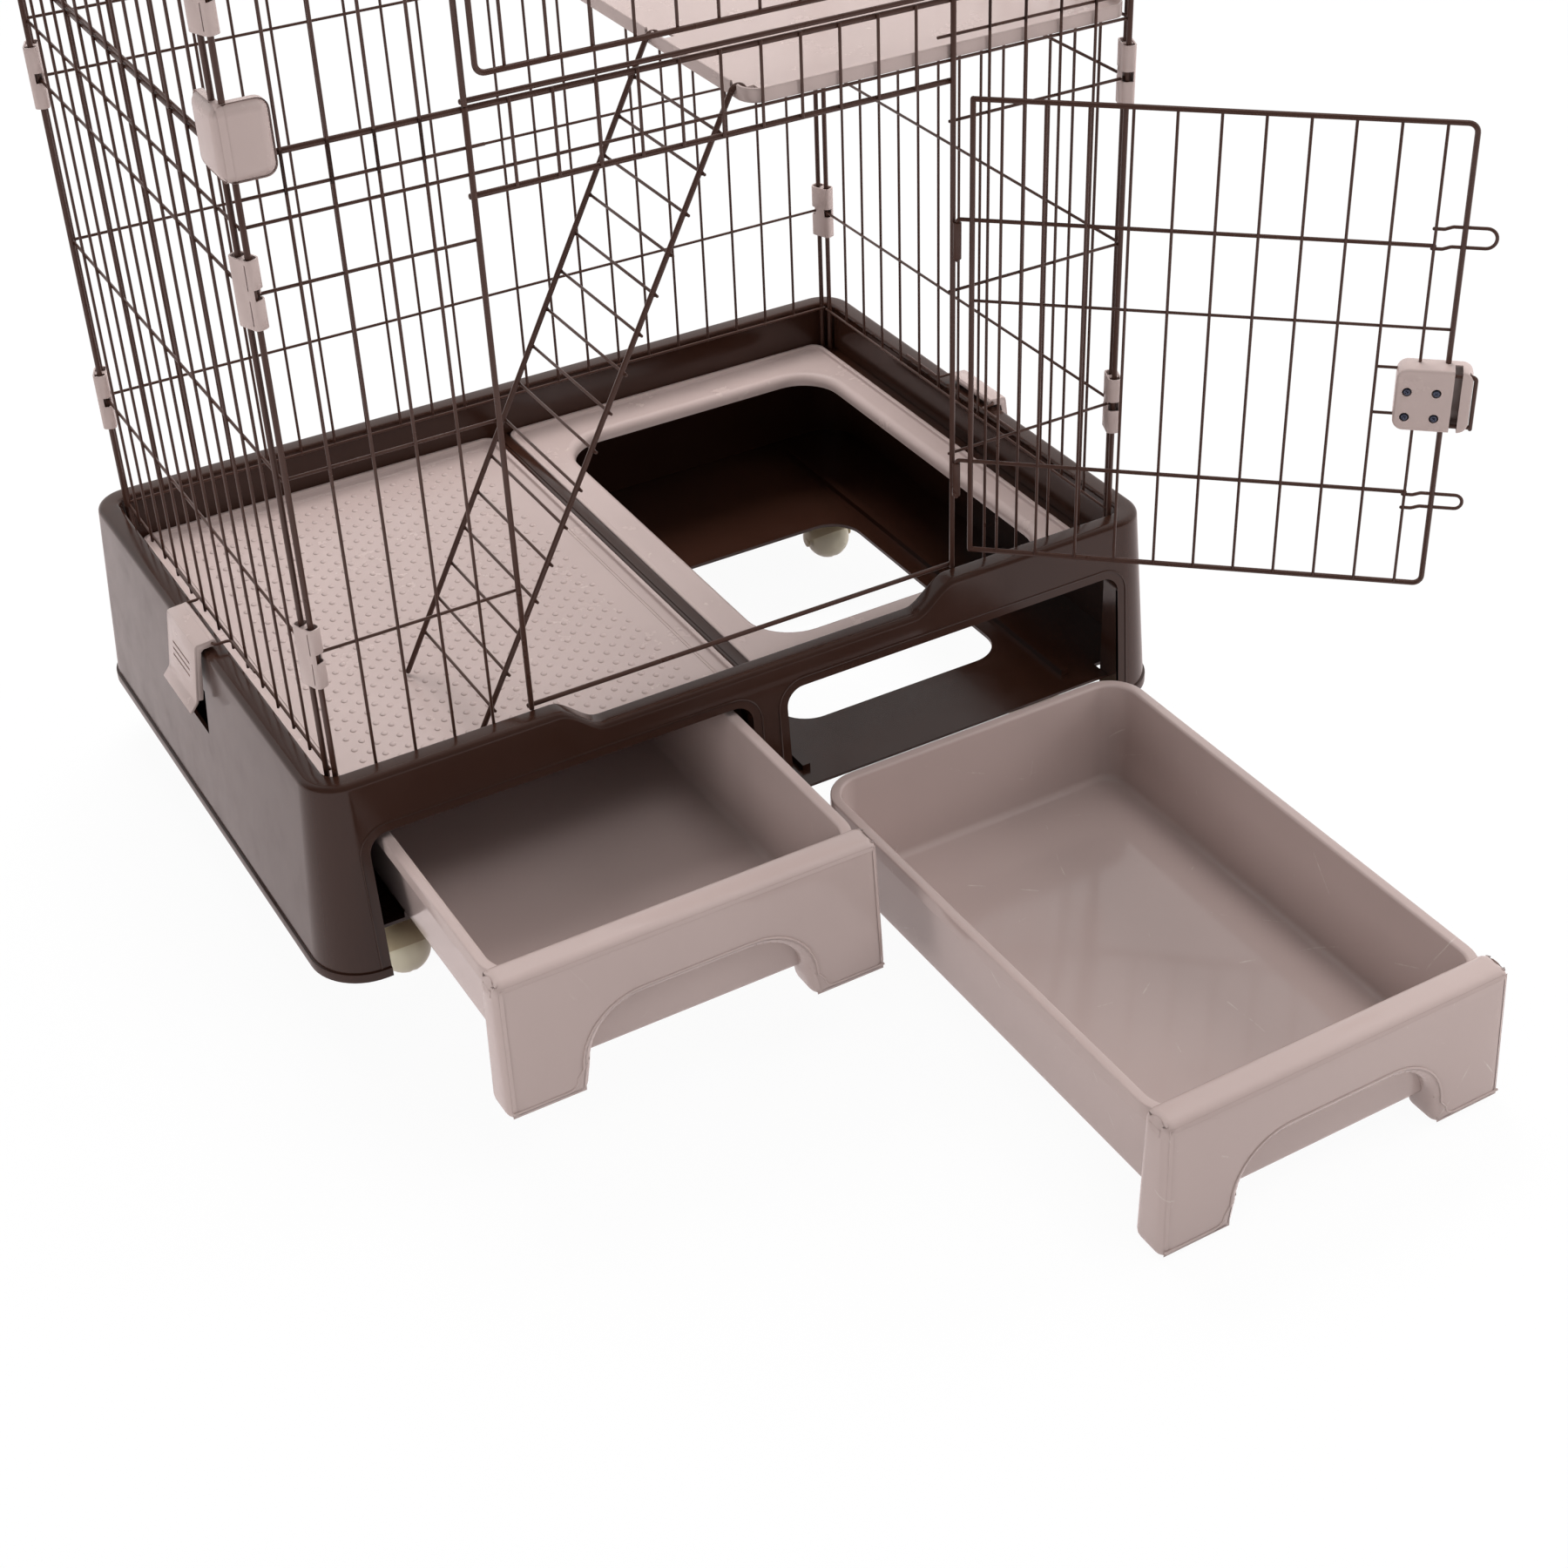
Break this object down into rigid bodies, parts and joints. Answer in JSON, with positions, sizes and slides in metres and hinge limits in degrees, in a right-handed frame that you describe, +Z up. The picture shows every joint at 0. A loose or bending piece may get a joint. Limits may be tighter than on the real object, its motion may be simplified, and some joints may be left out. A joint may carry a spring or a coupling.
{
  "type": "cat cage",
  "caption": "Two-storey wire cat cage on a moulded base with drawers, ball casters, a hinged front door on each storey, a ladder and a shelf.",
  "frame": {"origin": "middle of the base's underside, on the floor frame's centre beam, level with the base's lower edge", "axes": "+Z up, +X to the right seen from the front, the door and the drawers face -Y"},
  "size_m": [1.0121, 1.211, 1.3573],
  "materials": {
    "base_plastic": "dark espresso brown, glossy moulding",
    "pale_plastic": "greige, satin gloss moulding",
    "coated_wire": "dark brown powder coat, satin",
    "caster_ball": "cream, satin",
    "caster_hood": "tan, satin",
    "screw_steel": "blued steel"
  },
  "bodies": {
    "base": {"base_housing": "base_plastic", "floor_frame": "base_plastic", "center_rail": "base_plastic", "floor_tray": "pale_plastic", "litter_ring": "pale_plastic", "lower_front_panel": "coated_wire", "lower_back_panel": "coated_wire", "lower_left_panel": "coated_wire", "lower_right_panel": "coated_wire", "lower_corner_clips": "pale_plastic", "storey_brackets": "pale_plastic", "shelf": "pale_plastic", "upper_front_panel": "coated_wire", "upper_back_panel": "coated_wire", "upper_left_panel": "coated_wire", "upper_right_panel": "coated_wire", "upper_corner_clips": "pale_plastic", "roof_panel": "coated_wire"},
    "left_drawer": {"left_drawer_tray": "pale_plastic", "left_drawer_fascia": "pale_plastic"},
    "litter_drawer": {"litter_drawer_tray": "pale_plastic", "litter_drawer_fascia": "pale_plastic"},
    "side_clip_left": {"side_clip_left": "pale_plastic"},
    "side_clip_right": {"side_clip_right": "pale_plastic"},
    "ladder": {"ladder": "coated_wire"},
    "caster_hood_front_left": {"caster_hood_front_left": "caster_hood"},
    "caster_ball_front_left": {"caster_ball_front_left": "caster_ball"},
    "caster_hood_front_right": {"caster_hood_front_right": "caster_hood"},
    "caster_ball_front_right": {"caster_ball_front_right": "caster_ball"},
    "caster_hood_back_left": {"caster_hood_back_left": "caster_hood"},
    "caster_ball_back_left": {"caster_ball_back_left": "caster_ball"},
    "caster_hood_back_right": {"caster_hood_back_right": "caster_hood"},
    "caster_ball_back_right": {"caster_ball_back_right": "caster_ball"},
    "lower_door": {"lower_door": "coated_wire", "lower_latch_outer": "pale_plastic", "lower_latch_inner": "pale_plastic", "lower_latch_screws": "screw_steel"},
    "lower_bolt": {"lower_latch_bolt": "coated_wire"},
    "upper_door": {"upper_door": "coated_wire", "upper_latch_outer": "pale_plastic", "upper_latch_inner": "pale_plastic", "upper_latch_screws": "screw_steel"},
    "upper_bolt": {"upper_latch_bolt": "coated_wire"}
  },
  "joints": [
    {"name": "left_drawer_slide", "type": "slide", "parent": "base", "child": "left_drawer", "axis": [0, -1, 0], "range_m": [-0.232, 0.24]},
    {"name": "litter_drawer_slide", "type": "slide", "parent": "base", "child": "litter_drawer", "axis": [0, -1, 0], "range_m": [-0.028, 0.25]},
    {"name": "side_clip_left_hinge", "type": "hinge", "parent": "base", "child": "side_clip_left", "pos_m": [-0.421, 0, 0.204], "axis": [0, 1, 0], "range_deg": [0, 100]},
    {"name": "side_clip_right_hinge", "type": "hinge", "parent": "base", "child": "side_clip_right", "pos_m": [0.421, 0, 0.204], "axis": [0, -1, 0], "range_deg": [0, 100]},
    {"name": "caster_swivel_front_left", "type": "hinge", "parent": "base", "child": "caster_hood_front_left", "pos_m": [-0.35, -0.21, -0.01], "axis": [0, 0, 1], "continuous": true},
    {"name": "caster_spin_front_left", "type": "hinge", "parent": "caster_hood_front_left", "child": "caster_ball_front_left", "pos_m": [-0.35, -0.23, -0.0455], "axis": [1, 0, 0], "continuous": true},
    {"name": "caster_swivel_front_right", "type": "hinge", "parent": "base", "child": "caster_hood_front_right", "pos_m": [0.35, -0.21, -0.01], "axis": [0, 0, 1], "continuous": true},
    {"name": "caster_spin_front_right", "type": "hinge", "parent": "caster_hood_front_right", "child": "caster_ball_front_right", "pos_m": [0.35, -0.23, -0.0455], "axis": [1, 0, 0], "continuous": true},
    {"name": "caster_swivel_back_left", "type": "hinge", "parent": "base", "child": "caster_hood_back_left", "pos_m": [-0.35, 0.21, -0.01], "axis": [0, 0, 1], "continuous": true},
    {"name": "caster_spin_back_left", "type": "hinge", "parent": "caster_hood_back_left", "child": "caster_ball_back_left", "pos_m": [-0.35, 0.19, -0.0455], "axis": [1, 0, 0], "continuous": true},
    {"name": "caster_swivel_back_right", "type": "hinge", "parent": "base", "child": "caster_hood_back_right", "pos_m": [0.35, 0.21, -0.01], "axis": [0, 0, 1], "continuous": true},
    {"name": "caster_spin_back_right", "type": "hinge", "parent": "caster_hood_back_right", "child": "caster_ball_back_right", "pos_m": [0.35, 0.19, -0.0455], "axis": [1, 0, 0], "continuous": true},
    {"name": "lower_door_hinge", "type": "hinge", "parent": "base", "child": "lower_door", "pos_m": [0.21764, -0.28, 0.4947], "axis": [0, 0, 1], "range_deg": [-138.5, 35]},
    {"name": "lower_bolt_slide", "type": "slide", "parent": "lower_door", "child": "lower_bolt", "axis": [-0.749, 0.6626, 0], "range_m": [0, 0.022]},
    {"name": "upper_door_hinge", "type": "hinge", "parent": "base", "child": "upper_door", "pos_m": [0.21764, -0.28, 1.039], "axis": [0, 0, 1], "range_deg": [0, 173.5]},
    {"name": "upper_bolt_slide", "type": "slide", "parent": "upper_door", "child": "upper_bolt", "axis": [1, 0, 0], "range_m": [-0.022, 0]},
    {"name": "ladder_swing", "type": "hinge", "parent": "base", "child": "ladder", "pos_m": [0.02845, -0.1715, 0.6858], "axis": [0, 1, 0], "range_deg": [0, 10]}
  ]
}
